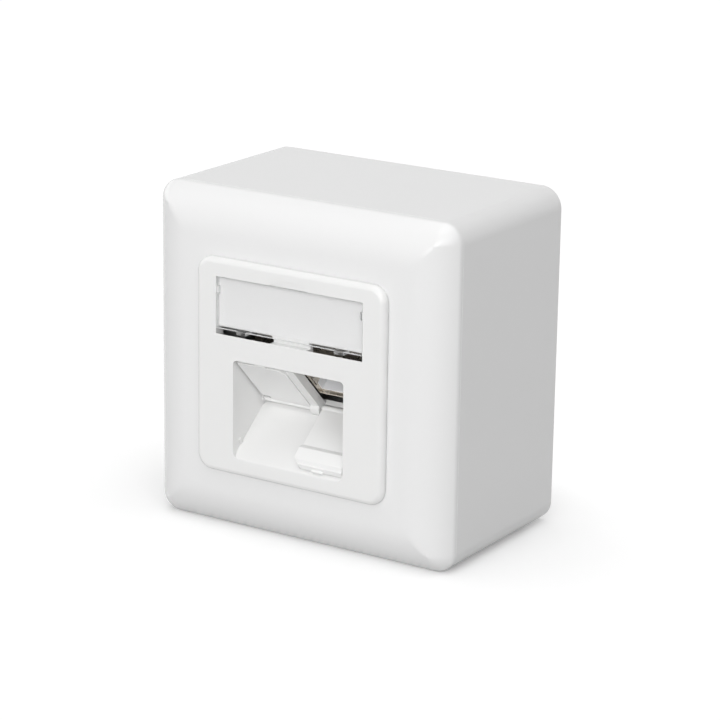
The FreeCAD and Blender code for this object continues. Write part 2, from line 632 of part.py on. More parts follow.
def opening_block():
    """Straight prism of the port opening, with rounded corners, to trim the recess at the face."""
    block = slab(-OPENING, OPENING, HINGE_H - HINGE_DEPTH, FACE + 3, LIP_Z, OPENING_HIGH)
    for z, radius in ((OPENING_HIGH, OPENING_CORNER_R), (LIP_Z, OPENING_LOW_R)):
        corners = [e for e in upright_edges(block) if abs(e.Vertexes[0].Z - z) < 1e-6]
        block = block.makeFillet(radius, corners)
    return block


def hinge_holes():
    """Holes for the shutters' pins: blind in the recess walls, and one through the partition."""
    radius = PIN_R + PIN_CLEARANCE
    depth = PIN_LENGTH - SHUTTER_GAP_OUT + PIN_END
    through = RIB_WIDTH + 2 * JOIN
    holes = [Part.makeCylinder(radius, through, at(-through / 2, HINGE_H, HINGE_Z), V(1, 0, 0))]
    for side in (-1, 1):
        start = side * (OPENING - JOIN)
        holes.append(Part.makeCylinder(radius, JOIN + depth, at(start, HINGE_H, HINGE_Z), V(side, 0, 0)))
    return holes


def centre_plate():
    """The centre plate as one moulding."""
    plate = label_recess(plate_panel())
    space = recess_space().common(opening_block())
    plate = plate.cut(space)
    plate = join(plate, recess_shell().cut(space), partition(), *detents())
    return plate.cut(hinge_holes())


def plate_screw():
    """The screw behind the label card that holds the centre plate to the module."""
    return screw(PLATE_SCREW_R, PLATE_SCREW_LENGTH, PLATE_SCREW_HEAD_R, PLATE_SCREW_HEAD,
                 0, FLANGE_FACE + BOSS_FLOOR, PLATE_SCREW_Z)


def nib_notches(h0, h1):
    """Notches in the ends of the card and the window, round the two nibs."""
    reach = LABEL_WIDTH / 2 - NIB_REACH - SLIDE_GAP
    return [slab(*sorted((side * reach, side * LABEL_WIDTH)), h0, h1, NIB_LOW - SLIDE_GAP,
                 NIB_LOW + NIB_LENGTH + SLIDE_GAP) for side in (-1, 1)]


def label_card():
    """Blank paper card behind the window."""
    low = LABEL_LOW + LABEL_SLOT + CARD_INSET
    half = LABEL_WIDTH / 2 - CARD_INSET
    back = FACE - LABEL_DEPTH
    card = slab(-half, half, back, back + CARD_THICK, low, LABEL_HIGH - CARD_INSET)
    return card.cut(nib_notches(back - 1, FACE))


def label_window():
    """Clear window, flush with the plate, with two hooks that reach into the slots."""
    low, high = LABEL_LOW + LABEL_SLOT, LABEL_HIGH - WINDOW_GAP
    back = FACE - LABEL_DEPTH + CARD_THICK + SEAT_GAP
    front = FACE - SEAT_GAP
    pane = block_about(LABEL_WIDTH - 2 * WINDOW_GAP, high - low, back, front, 0, (low + high) / 2)
    pane = pane.cut(nib_notches(back - 1, FACE + 1))
    hooks = []
    under = low - WINDOW_GAP
    for x in (-HOOK_X, HOOK_X):
        ends = (x - HOOK_WIDTH / 2, x + HOOK_WIDTH / 2)
        hooks.append(slab(*ends, back - HOOK_REACH, FACE - HOOK_SETBACK, under - HOOK_THICK, under))
        hooks.append(slab(*ends, back, FACE - HOOK_SETBACK, under - WINDOW_GAP, low + WINDOW_GAP))
    return join(pane, *hooks)


# ---- shutters ------------------------------------------------------------------------------
def shutter(side):
    """Dust shutter drawn closed: a flap with a barrel and pins below, and a grip pad on its free end."""
    outer = OPENING - SHUTTER_GAP_OUT
    inner = RIB_WIDTH / 2 + SHUTTER_GAP_IN
    x0, x1 = (-outer, -inner) if side == "left" else (inner, outer)
    width = x1 - x0
    axis = V(1, 0, 0)
    flap = along_x([(0, -HALF_THICK), (SHUTTER_LENGTH, -HALF_THICK),
                    (SHUTTER_LENGTH + SHUTTER_LEAN, HALF_THICK), (0, HALF_THICK)], x0, x1)
    barrel = Part.makeCylinder(BARREL_R, width, V(x0, 0, 0), axis)
    pins = Part.makeCylinder(PIN_R, width + 2 * PIN_LENGTH, V(x0 - PIN_LENGTH, 0, 0), axis)
    face, top = -HALF_THICK, -HALF_THICK - GRIP_HEIGHT
    grip = along_x([(GRIP_START, face + SEAT_GAP), (GRIP_START + GRIP_RAMP, top),
                    (SHUTTER_LENGTH - GRIP_NOSE, top + GRIP_FALL), (SHUTTER_LENGTH, face + GRIP_FALL),
                    (SHUTTER_LENGTH, 0)], x0, x1)
    long_edges = [e for e in grip.Edges if e.Length > width - 1e-6]
    grip = grip.makeFillet(GRIP_FALL, [e for e in long_edges if e.Vertexes[0].Z < (face + top) / 2])
    middle = (x0 + x1) / 2
    nub = port_block(middle - NUB_WIDTH / 2, middle + NUB_WIDTH / 2, SHUTTER_LENGTH - NUB_LENGTH,
                     SHUTTER_LENGTH + NUB_LENGTH, 0, HALF_THICK)
    body = join(flap, barrel, pins, grip, nub)
    deep = 2 * (HALF_THICK + GRIP_HEIGHT)
    near, toward = (x0, 1) if side == "left" else (x1, -1)
    ends = sorted((near - toward * JOIN, near + toward * HINGE_SLIT))
    notch = port_block(*ends, BARREL_R, BARREL_R + SLIT_LENGTH, -deep, deep)
    corner = x0 + x1 - near
    past = SHUTTER_LENGTH + SHUTTER_LEAN + JOIN
    clip = [V(corner + toward * JOIN, SHUTTER_LENGTH - SHUTTER_CLIP - JOIN, deep),
            V(corner + toward * JOIN, past, deep),
            V(corner - toward * (SHUTTER_CLIP + past - SHUTTER_LENGTH), past, deep)]
    return body.cut([notch, Part.Face(Part.makePolygon(clip + clip[:1])).extrude(V(0, 0, -2 * deep))])


def shutter_left():
    return into_port(shutter("left"))


def shutter_right():
    """The right shutter, at rest open on the recess floor."""
    opened = into_port(shutter("right"))
    opened.rotate(at(0, HINGE_H, HINGE_Z), V(1, 0, 0), JACK_ANGLE + FLOOR_ANGLE)
    return opened


# ---- jacks ---------------------------------------------------------------------------------
def jack_shield(x):
    """Folded nickel-plated can round the jack, with a spring finger cut in each side."""
    half = SHIELD_WIDTH / 2
    inner = half - SHIELD_WALL
    can = port_block(x - half, x + half, SHIELD_LOW, SHIELD_TOP, INSERT_BACK, SHIELD_FACE)
    hollow = port_block(x - inner, x + inner, SHIELD_LOW + SHIELD_WALL, SHIELD_TOP - SHIELD_WALL,
                        INSERT_BACK - 1, 0)
    low = SHIELD_LOW + (SHIELD_TOP - SHIELD_LOW) * SPRING_PLACE - SPRING_WIDTH / 2
    high = low + SPRING_WIDTH
    tip = SHIELD_FACE - SPRING_CUT
    root = tip - SPRING_LENGTH
    cuts = []
    for side in (-1, 1):
        near, far = sorted((x + side * (inner - SEAT_GAP), x + side * (half + SEAT_GAP)))
        cuts.append(port_block(near, far, low - SPRING_CUT, low, root, tip))
        cuts.append(port_block(near, far, high, high + SPRING_CUT, root, tip))
        cuts.append(port_block(near, far, low - SPRING_CUT, high + SPRING_CUT, tip - SPRING_CUT, tip))
    return into_port(can.cut([hollow, *cuts]))


def jack_insert(x):
    """Plastic body of the jack, with the plug space and the latch channel."""
    half = SHIELD_WIDTH / 2 - SHIELD_WALL - INSERT_GAP
    low = SHIELD_LOW + SHIELD_WALL + INSERT_GAP
    high = SHIELD_TOP - SHIELD_WALL - INSERT_GAP
    deep = INSERT_FACE - PLUG_DEPTH
    roof = PLUG_LOW + PLUG_HEIGHT
    body = port_block(x - half, x + half, low, high, INSERT_BACK, INSERT_FACE)
    plug = port_block(x - PLUG_WIDTH / 2, x + PLUG_WIDTH / 2, PLUG_LOW, roof, deep, INSERT_FACE + 1)
    latch = port_block(x - LATCH_WIDTH / 2, x + LATCH_WIDTH / 2, roof - SEAT_GAP, roof + LATCH_HEIGHT,
                       deep, INSERT_FACE + 1)
    return into_port(body.cut([plug, latch]))


def contact_positions(x):
    """X of each of the jack's eight contacts."""
    first = x - CONTACT_PITCH * (CONTACT_COUNT - 1) / 2
    return [first + CONTACT_PITCH * i for i in range(CONTACT_COUNT)]


def jack_contacts(x):
    """Eight sprung contacts that rise from the floor of the plug space, gold plated."""
    deep = INSERT_FACE - PLUG_DEPTH
    low = PLUG_LOW + SEAT_GAP
    top = low + CONTACT_THICK
    front = INSERT_FACE - CONTACT_SETBACK
    peak = low + CONTACT_RISE
    outline = [(deep + SEAT_GAP, low), (front, low), (front, top), (deep + CONTACT_TIP, peak),
               (deep + CONTACT_TIP - CONTACT_THICK, peak - CONTACT_THICK / 2),
               (deep + CONTACT_TIP + CONTACT_RISE, top), (deep + SEAT_GAP, top)]
    springs = []
    for cx in contact_positions(x):
        spring = along_x([(u, n) for n, u in outline], cx - CONTACT_WIDTH / 2, cx + CONTACT_WIDTH / 2)
        springs.append(into_port(spring))
    return Part.makeCompound(springs)


# ---- module --------------------------------------------------------------------------------
def circuit_board():
    """Board behind the two jacks, square to the ports."""
    half = HOUSING_INNER - BOARD_MARGIN
    return into_port(port_block(-half, half, BOARD_LOW, BOARD_HIGH, BOARD_FACE - BOARD_THICK, BOARD_FACE))


def module_housing():
    """Die-cast frame of the module: a flange on the support plate, and walls round the board."""
    inner = HOUSING_INNER
    block = port_block(-HOUSING_HALF, HOUSING_HALF, HOUSING_LOW, HOUSING_TOP, HOUSING_BACK, HOUSING_FRONT)
    hollow = port_block(-inner, inner, HOUSING_LOW + HOUSING_WALL, HOUSING_TOP - HOUSING_WALL,
                        HOUSING_BACK - 1, 2)
    box = into_port(block.cut(hollow)).common(block_about(FRAME_SIZE, FRAME_SIZE, BOX_BACK, FLANGE_FACE))
    side = MODULE_SCREW_X + FLANGE_EDGE
    flange = slab(-side, side, SUPPORT_FACE, FLANGE_FACE, MODULE_WINDOW_LOW - FLANGE_RIM,
                  MODULE_WINDOW_HIGH + FLANGE_LAP)
    ceiling = port_z(SHIELD_TOP, SUPPORT_FACE) + JACK_CLEAR
    flange = flange.cut(slab(-inner, inner, SUPPORT_FACE - 1, FLANGE_FACE + 1, MODULE_WINDOW_LOW, ceiling))
    post = rod(POST_R, POST_BACK, SUPPORT_FACE + JOIN, 0, PLATE_SCREW_Z)
    screw_end = FLANGE_FACE + BOSS_FLOOR - PLATE_SCREW_LENGTH
    holes = [rod(PLATE_SCREW_R + SEAT_GAP, screw_end - SLIDE_GAP, FLANGE_FACE + 1, 0, PLATE_SCREW_Z)]
    holes += [rod(SMALL_SCREW_R + SEAT_GAP, SUPPORT_FACE - 1, FLANGE_FACE + 1, x, z)
              for x, z in module_screw_places()]
    return join(box, flange, post).cut(holes)


def module_rear_cover():
    """Rear hood over the terminals, with two cable mouths in its lower wall."""
    rear = HOUSING_BACK - COVER_DEPTH
    hood = port_block(-HOUSING_HALF, HOUSING_HALF, HOUSING_LOW, HOUSING_TOP, rear, HOUSING_BACK)
    inner = HOUSING_HALF - COVER_WALL
    hollow = port_block(-inner, inner, HOUSING_LOW + COVER_WALL, HOUSING_TOP - COVER_WALL,
                        rear + COVER_WALL, HOUSING_BACK + 1)
    low = HOUSING_LOW - COVER_WALL
    mouths = [Part.makeCylinder(CABLE_R, 4 * COVER_WALL, V(x, low, CABLE_N), V(0, 1, 0))
              for x in PORTS.values()]
    return into_port(hood.cut([hollow, *mouths]))


def terminal_block(x):
    """Insulation-displacement block on the back of the board, with eight wire slots in two rows."""
    face = BOARD_FACE - BOARD_THICK
    back = face - BLOCK_DEPTH
    high = BLOCK_LOW + BLOCK_HEIGHT
    block = port_block(x - BLOCK_WIDTH / 2, x + BLOCK_WIDTH / 2, BLOCK_LOW, high, back, face)
    cuts = [port_block(x - BLOCK_CHANNEL / 2, x + BLOCK_CHANNEL / 2, BLOCK_LOW - 1, high + 1,
                       back - 1, face - BLOCK_FLOOR)]
    pitch = BLOCK_HEIGHT / 4
    for row in range(4):
        u = BLOCK_LOW + pitch * (row + 0.5)
        cuts.append(port_block(x - BLOCK_WIDTH, x + BLOCK_WIDTH, u - WIRE_SLOT / 2, u + WIRE_SLOT / 2,
                               back - 1, face - WIRE_SLOT_FLOOR))
    return into_port(block.cut(cuts))


def cable_clamp(x):
    """Strap folded to a U that holds the cable's braid at the hood's mouth."""
    low = HOUSING_LOW - CLAMP_WIDTH - SEAT_GAP

    def fold(reach, start, length):
        points = [(-reach, CABLE_R), (-reach, CLAMP_BEND - reach), (CLAMP_BEND - reach, -reach),
                  (reach - CLAMP_BEND, -reach), (reach, CLAMP_BEND - reach), (reach, CABLE_R)]
        corners = [V(x + across, start, CABLE_N + n) for across, n in points + points[:1]]
        return Part.Face(Part.makePolygon(corners)).extrude(V(0, length, 0))

    strap = fold(CABLE_R + CLAMP_THICK, low, CLAMP_WIDTH)
    return into_port(strap.cut(fold(CABLE_R, low - 1, CLAMP_WIDTH + 2)))


NODES = {
    "back_box": back_box,
    "cover_frame": cover_frame,
    "support_plate": support_plate,
    "support_screws": support_screws,
    "module_screws": module_screws,
    "centre_plate": centre_plate,
    "centre_plate_screw": plate_screw,
    "label_card": label_card,
    "label_window": label_window,
    "shutter_left": shutter_left,
    "shutter_right": shutter_right,
    "circuit_board": circuit_board,
    "module_housing": module_housing,
    "module_rear_cover": module_rear_cover,
}
for port, port_x in PORTS.items():
    NODES["jack_shield_" + port] = lambda x=port_x: jack_shield(x)
    NODES["jack_insert_" + port] = lambda x=port_x: jack_insert(x)
    NODES["jack_contacts_" + port] = lambda x=port_x: jack_contacts(x)
    NODES["terminal_block_" + port] = lambda x=port_x: terminal_block(x)
    NODES["cable_clamp_" + port] = lambda x=port_x: cable_clamp(x)

for name, make in NODES.items():
    shape = make()
    shape.exportStep("parts/" + name + ".step")
    print(name, len(shape.Solids), shape.isValid(), round(shape.Volume, 1))
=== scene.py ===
import math

import bmesh
import bpy
from mathutils import Matrix, Vector


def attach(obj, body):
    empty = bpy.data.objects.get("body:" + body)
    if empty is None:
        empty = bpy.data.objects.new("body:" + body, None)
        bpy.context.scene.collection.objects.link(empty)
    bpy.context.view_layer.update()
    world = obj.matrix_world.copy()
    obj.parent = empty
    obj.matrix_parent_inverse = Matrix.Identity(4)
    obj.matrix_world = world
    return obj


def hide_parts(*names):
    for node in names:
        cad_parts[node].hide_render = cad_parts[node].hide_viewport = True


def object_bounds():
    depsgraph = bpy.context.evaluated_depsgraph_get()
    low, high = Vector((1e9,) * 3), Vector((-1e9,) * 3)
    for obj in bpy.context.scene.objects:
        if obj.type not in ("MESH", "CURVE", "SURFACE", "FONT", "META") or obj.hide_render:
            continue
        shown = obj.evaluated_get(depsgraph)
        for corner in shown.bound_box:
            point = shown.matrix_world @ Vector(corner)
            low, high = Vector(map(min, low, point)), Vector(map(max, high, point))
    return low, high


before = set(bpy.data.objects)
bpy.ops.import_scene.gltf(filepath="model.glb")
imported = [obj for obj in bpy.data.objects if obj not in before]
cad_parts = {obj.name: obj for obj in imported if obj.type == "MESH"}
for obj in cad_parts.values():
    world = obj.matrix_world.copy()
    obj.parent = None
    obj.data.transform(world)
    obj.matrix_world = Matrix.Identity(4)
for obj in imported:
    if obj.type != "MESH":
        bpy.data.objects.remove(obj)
cad_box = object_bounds()

# ---- camera, table and light -----------------------------------------------------------------
# The outlet stands on its lower side on a white table, seen from the front right and a little
# above through a long lens. Five large diffusers light it softly, and the white room fills in.
camera_at = Vector((0.33098, -0.53523, 0.17794))
camera_aim = Vector((0.00399, -0.0274, -0.00015))
camera_roll = math.radians(0.84)

camera = bpy.data.objects.new("camera", bpy.data.cameras.new("camera"))
camera.data.sensor_width = 36
camera.data.lens = 138.8
camera.data.clip_start = 0.05
camera.data.clip_end = 20
look = (camera_aim - camera_at).to_track_quat("-Z", "Y").to_matrix().to_4x4()
camera.matrix_world = Matrix.Translation(camera_at) @ look @ Matrix.Rotation(camera_roll, 4, "Z")
bpy.context.scene.collection.objects.link(camera)
bpy.context.scene.camera = camera
bpy.context.scene.view_settings.view_transform = "Standard"


def seen_plainly(tree):
    """1 for rays that the eye, a mirror or clear plastic sends out, 0 for the light's own."""
    path = tree.nodes.new("ShaderNodeLightPath")
    either = tree.nodes.new("ShaderNodeMath")
    either.operation = "MAXIMUM"
    tree.links.new(path.outputs["Is Camera Ray"], either.inputs[0])
    tree.links.new(path.outputs["Is Glossy Ray"], either.inputs[1])
    every = tree.nodes.new("ShaderNodeMath")
    every.operation = "MAXIMUM"
    tree.links.new(either.outputs[0], every.inputs[0])
    tree.links.new(path.outputs["Is Transmission Ray"], every.inputs[1])
    return every.outputs[0]


room_fill = 0.14


def add_room():
    """White walls: a quiet fill on the outlet, plain white wherever they are looked at."""
    world = bpy.data.worlds.new("white_room")
    world.use_nodes = True
    tree = world.node_tree
    tree.nodes.clear()
    fill = tree.nodes.new("ShaderNodeBackground")
    fill.inputs["Strength"].default_value = room_fill
    white = tree.nodes.new("ShaderNodeBackground")
    white.inputs["Strength"].default_value = 1.0
    for wall in (fill, white):
        wall.inputs["Color"].default_value = (1, 1, 1, 1)
    mix = tree.nodes.new("ShaderNodeMixShader")
    out = tree.nodes.new("ShaderNodeOutputWorld")
    tree.links.new(seen_plainly(tree), mix.inputs["Fac"])
    tree.links.new(fill.outputs[0], mix.inputs[1])
    tree.links.new(white.outputs[0], mix.inputs[2])
    tree.links.new(mix.outputs[0], out.inputs["Surface"])
    bpy.context.scene.world = world


add_room()

table_half = 3.0
tone_for_lamps = 0.5
tone_far_off = 0.05
glow_close_by = 0.12
footprint_stretch = (1, 1.6, 0)
footprint_shift = (0, 0.04, 0)
# Painted light: between these distances from the footprint the table's glow rises to plain white and washes
# the real shadow out.
glow_ramp_starts, glow_ramp_ends = 0.045, 0.09


def table_material():
    """White where the outlet's shadow lies, and passing into a plain white glow further off. The glow is
    painted light: it rises with the distance from the outlet's footprint and cuts the shadow short.
    """
    material = bpy.data.materials.new("table_white")
    material.use_nodes = True
    tree = material.node_tree
    tree.nodes.clear()
    link = tree.links.new

    def times_plus(value, factor, rest):
        node = tree.nodes.new("ShaderNodeMath")
        node.operation = "MULTIPLY_ADD"
        node.inputs[2].default_value = rest
        link(value, node.inputs[0])
        if isinstance(factor, float):
            node.inputs[1].default_value = factor
        else:
            link(factor, node.inputs[1])
        return node.outputs[0]

    place = tree.nodes.new("ShaderNodeTexCoord")
    around = tree.nodes.new("ShaderNodeVectorMath")
    around.operation = "MULTIPLY_ADD"
    around.inputs[1].default_value = footprint_stretch
    around.inputs[2].default_value = footprint_shift
    away = tree.nodes.new("ShaderNodeVectorMath")
    away.operation = "LENGTH"
    ramp = tree.nodes.new("ShaderNodeMapRange")
    ramp.inputs["From Min"].default_value = glow_ramp_starts
    ramp.inputs["From Max"].default_value = glow_ramp_ends
    link(place.outputs["Object"], around.inputs[0])
    link(around.outputs[0], away.inputs[0])
    link(away.outputs["Value"], ramp.inputs["Value"])
    further = ramp.outputs["Result"]
    seen = seen_plainly(tree)
    matt = tree.nodes.new("ShaderNodeBsdfDiffuse")
    tone = times_plus(seen, times_plus(further, tone_far_off - 1, 1 - tone_for_lamps), tone_for_lamps)
    link(tone, matt.inputs["Color"])
    glow = tree.nodes.new("ShaderNodeEmission")
    glow.inputs["Color"].default_value = (1, 1, 1, 1)
    strength = times_plus(seen, times_plus(further, 1 - glow_close_by, glow_close_by), 0.0)
    link(strength, glow.inputs["Strength"])
    both = tree.nodes.new("ShaderNodeAddShader")
    out = tree.nodes.new("ShaderNodeOutputMaterial")
    link(matt.outputs[0], both.inputs[0])
    link(glow.outputs[0], both.inputs[1])
    link(both.outputs[0], out.inputs["Surface"])
    return material


def add_table():
    """One flat sheet under the outlet."""
    mesh = bmesh.new()
    bmesh.ops.create_grid(mesh, x_segments=1, y_segments=1, size=table_half)
    bmesh.ops.translate(mesh, vec=(0, 0, cad_box[0][2]), verts=mesh.verts)
    data = bpy.data.meshes.new("table")
    mesh.to_mesh(data)
    mesh.free()
    data.materials.append(table_material())
    table = bpy.data.objects.new("table", data)
    bpy.context.scene.collection.objects.link(table)


add_table()


def soft_light(name, place, size, power, mirrored=True):
    """A square diffuser that faces the outlet; one that isn't mirrored leaves no gleam on it."""
    data = bpy.data.lights.new(name, "AREA")
    data.shape = "SQUARE"
    data.size = size
    data.energy = power
    lamp = bpy.data.objects.new(name, data)
    lamp.location = place
    lamp.rotation_euler = (-Vector(place)).to_track_quat("-Z", "Y").to_euler()
    lamp.visible_glossy = mirrored
    bpy.context.scene.collection.objects.link(lamp)


soft_light("front_light", place=(0.15, -1.4, 0.35), size=1.2, power=11.6)
soft_light("side_light", place=(0.8, -1.1, 0.6), size=1.2, power=7.5)
soft_light("top_light", place=(0.0, -0.1, 1.3), size=1.4, power=9.6)
soft_light("left_light", place=(-1.5, -0.1, 0.15), size=1.2, power=5.0)
soft_light("back_light", place=(0.75, 1.4, 0.0), size=0.9, power=8.0, mirrored=False)

# ---- back box --------------------------------------------------------------------------------
# Injection moulded in white plastic in a polished tool, open in front. The edges left by the
# tool are only just broken, and the surface keeps a faint slow waviness over its ribs.


def moulded_surface():
    """The look of a moulding: slight change of tone, fine orange peel and slow sink waves."""
    group = bpy.data.node_groups.new("moulded_surface", "ShaderNodeTree")
    for name, kind, value in (("Color", "NodeSocketColor", (0.8, 0.8, 0.8, 1)),
                              ("Tone", "NodeSocketFloat", 0.012), ("Polish", "NodeSocketFloat", 0.15),
                              ("Waves", "NodeSocketFloat", 0.1), ("Peel", "NodeSocketFloat", 0.03)):
        group.interface.new_socket(name, in_out="INPUT", socket_type=kind).default_value = value
    for name, kind in (("Color", "NodeSocketColor"), ("Roughness", "NodeSocketFloat"),
                       ("Normal", "NodeSocketVector")):
        group.interface.new_socket(name, in_out="OUTPUT", socket_type=kind)
    given = group.nodes.new("NodeGroupInput")
    result = group.nodes.new("NodeGroupOutput")
    place = group.nodes.new("ShaderNodeTexCoord")
    link = group.links.new

    def noise(scale, detail):
        texture = group.nodes.new("ShaderNodeTexNoise")
        texture.inputs["Scale"].default_value = scale
        texture.inputs["Detail"].default_value = detail
        link(place.outputs["Object"], texture.inputs["Vector"])
        return texture.outputs["Fac"]

    def bump(strength, depth, height, under=None):
        node = group.nodes.new("ShaderNodeBump")
        node.inputs["Distance"].default_value = depth
        link(given.outputs[strength], node.inputs["Strength"])
        link(height, node.inputs["Height"])
        if under:
            link(under, node.inputs["Normal"])
        return node.outputs["Normal"]

    sink, peel = noise(scale=45, detail=1), noise(scale=1600, detail=2)
    middle = group.nodes.new("ShaderNodeMath")
    middle.operation = "SUBTRACT"
    middle.inputs[1].default_value = 0.5
    link(sink, middle.inputs[0])
    share = group.nodes.new("ShaderNodeMath")
    share.operation = "MULTIPLY_ADD"
    share.inputs[2].default_value = 1
    link(middle.outputs[0], share.inputs[0])
    link(given.outputs["Tone"], share.inputs[1])
    tint = group.nodes.new("ShaderNodeVectorMath")
    tint.operation = "SCALE"
    link(given.outputs["Color"], tint.inputs[0])
    link(share.outputs[0], tint.inputs["Scale"])
    link(tint.outputs[0], result.inputs["Color"])
    rough = group.nodes.new("ShaderNodeMath")
    rough.operation = "MULTIPLY_ADD"
    rough.inputs[1].default_value = 0.04
    link(peel, rough.inputs[0])
    link(given.outputs["Polish"], rough.inputs[2])
    link(rough.outputs[0], result.inputs["Roughness"])
    waves = bump("Waves", 0.0002, sink)
    link(bump("Peel", 0.00005, peel, under=waves), result.inputs["Normal"])
    return group


moulded_effect = moulded_surface()


def moulded(name, color, polish, waves=0.1, tone=0.012, peel=0.02):
    """A plastic in one colour, from the effect above, with its own polish."""
    material = bpy.data.materials.new(name)
    material.use_nodes = True
    tree = material.node_tree
    shader = tree.nodes["Principled BSDF"]
    shader.inputs["IOR"].default_value = 1.5
    effect = tree.nodes.new("ShaderNodeGroup")
    effect.node_tree = moulded_effect
    effect.inputs["Color"].default_value = (*color, 1)
    effect.inputs["Tone"].default_value = tone
    effect.inputs["Polish"].default_value = polish
    effect.inputs["Waves"].default_value = waves
    effect.inputs["Peel"].default_value = peel
    tree.links.new(effect.outputs["Color"], shader.inputs["Base Color"])
    tree.links.new(effect.outputs["Roughness"], shader.inputs["Roughness"])
    tree.links.new(effect.outputs["Normal"], shader.inputs["Normal"])
    return material


def finish_piece(name, mesh, material, body, crease=35):
    """Makes a piece of a bmesh, smooth between its creases, and sets it on its body."""
    for face in mesh.faces:
        face.smooth = True
    for edge in mesh.edges:
        if edge.calc_face_angle(0) > math.radians(crease):
            edge.smooth = False
    data = bpy.data.meshes.new(name)
    mesh.to_mesh(data)
    mesh.free()
    data.materials.append(material)
    piece = bpy.data.objects.new(name, data)
    bpy.context.scene.collection.objects.link(piece)
    even = piece.modifiers.new("even_shading", "WEIGHTED_NORMAL")
    even.keep_sharp = True
    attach(piece, body)
    return piece


def broken_edges(node, material, body, radius, crease=35, reshape=None):
    """The constructed piece again with its sharp edges broken, as the tool leaves them."""
    mesh = bmesh.new()
    mesh.from_mesh(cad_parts[node].data)
    bmesh.ops.remove_doubles(mesh, verts=mesh.verts, dist=2e-6)
    bmesh.ops.dissolve_limit(mesh, angle_limit=math.radians(0.5), use_dissolve_boundaries=False,
                             verts=mesh.verts, edges=mesh.edges)
    if reshape:
        reshape(mesh)
    piece = finish_piece(node + "_moulding", mesh, material, body, crease)
    rounding = piece.modifiers.new("broken_edges", "BEVEL")
    rounding.width = radius
    rounding.segments = 2
    rounding.limit_method = "ANGLE"
    rounding.angle_limit = math.radians(crease)
    rounding.miter_outer = "MITER_ARC"
    piece.modifiers.move(1, 0)
    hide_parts(node)
    return piece


box_white = moulded("box_white", (0.80, 0.80, 0.80), polish=0.22)
broken_edges("back_box", box_white, "base", radius=0.00005)

# ---- cover frame -----------------------------------------------------------------------------
# Domed square frame of polished white plastic, hollow behind, that clips into the box. Its
# section runs once round the frame: mitred on the land, turned round each rounded corner.
MM = 0.001
frame_half = 39.55
frame_corner = 4.7
frame_foot = 42.5
frame_side = 0.3
rim_round = 1.8
bevel_width = 10.15
mitre_round = 0.7
frame_land = 48.8
frame_wall = 1.6
opening_half = 23.5
skirt_foot = 44.2
skirt_wall = 1.5
edge_break = 0.04
rim_steps, dome_steps, corner_steps = 6, 16, 7


def frame_section():
    """The closed section beside the opening, as (distance from the middle, height) points."""
    top = frame_foot + frame_side
    drop, run = frame_land - top, bevel_width - rim_round
    wide = (run ** 2 + drop ** 2 - rim_round ** 2) / (2 * (drop - rim_round))
    tilt = math.atan2(run, wide - drop)
    inner_edge = frame_half - bevel_width

    def skin(inset):
        rim = [(math.pi / 2 - tilt) * i / rim_steps for i in range(rim_steps + 1)]
        dome = [tilt * (1 - i / dome_steps) for i in range(1, dome_steps + 1)]
        rounded = [(frame_half - rim_round + (rim_round - inset) * math.cos(a),
                    top + (rim_round - inset) * math.sin(a)) for a in rim]
        domed = [(inner_edge + (wide - inset) * math.sin(a),
                  frame_land - wide + (wide - inset) * math.cos(a)) for a in dome]
        return rounded + domed

    outside = [(frame_half - edge_break, frame_foot), (frame_half, frame_foot + edge_break), *skin(0)]
    inside = [*reversed(skin(frame_wall)), (frame_half - frame_wall, frame_foot)]
    lip = [(opening_half + edge_break, frame_land), (opening_half, frame_land - edge_break),
           (opening_half, skirt_foot), (opening_half + skirt_wall, skirt_foot),
           (opening_half + skirt_wall, frame_land - frame_wall)]
    return outside + lip + inside


def frame_mesh():
    """One side drawn along its section and cut on both mitres, then turned to make all four."""
    mesh = bmesh.new()
    reach = frame_half + 1
    ring = [mesh.verts.new((r, -h, -reach)) for r, h in frame_section()]
    edges = [mesh.edges.new((a, b)) for a, b in zip(ring, ring[1:] + ring[:1])]
    moved = bmesh.ops.extrude_edge_only(mesh, edges=edges)["geom"]
    bmesh.ops.translate(mesh, vec=(0, 0, 2 * reach),
                        verts=[v for v in moved if isinstance(v, bmesh.types.BMVert)])
    centre = frame_half - frame_corner

    def cut(through, facing, clear=False):
        bmesh.ops.bisect_plane(mesh, geom=[*mesh.verts, *mesh.edges, *mesh.faces], plane_co=through,
                               plane_no=facing, clear_outer=clear, dist=1e-6)

    for sign in (-1, 1):
        cut((0, 0, 0), (-1, 0, sign), clear=True)
        cut((mitre_round * math.sqrt(2), 0, 0), (-1, 0, sign))
        for step in range(corner_steps):
            turn = math.radians(45) * step / corner_steps
            cut((centre, 0, sign * centre), (-math.sin(turn), 0, sign * math.cos(turn)))
    side = [*mesh.verts, *mesh.edges, *mesh.faces]
    for quarter in range(1, 4):
        copy = bmesh.ops.duplicate(mesh, geom=side)["geom"]
        bmesh.ops.rotate(mesh, cent=(0, 0, 0), matrix=Matrix.Rotation(math.radians(90 * quarter), 3, "Y"),
                         verts=[v for v in copy if isinstance(v, bmesh.types.BMVert)])
    bmesh.ops.remove_doubles(mesh, verts=mesh.verts, dist=1e-4)
    for v in mesh.verts:
        x, z = abs(v.co.x) - centre, abs(v.co.z) - centre
        if x > 0 and z > 0:
            share = max(x, z) / math.hypot(x, z)
            v.co.x = math.copysign(centre + x * share, v.co.x)
            v.co.z = math.copysign(centre + z * share, v.co.z)
    bmesh.ops.recalc_face_normals(mesh, faces=mesh.faces)
    bmesh.ops.scale(mesh, vec=(MM, MM, MM), verts=mesh.verts)
    return mesh


frame_white = moulded("frame_white", (0.81, 0.81, 0.81), polish=0.10)
cover = finish_piece("cover_frame_moulding", frame_mesh(), frame_white, "base")
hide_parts("cover_frame")

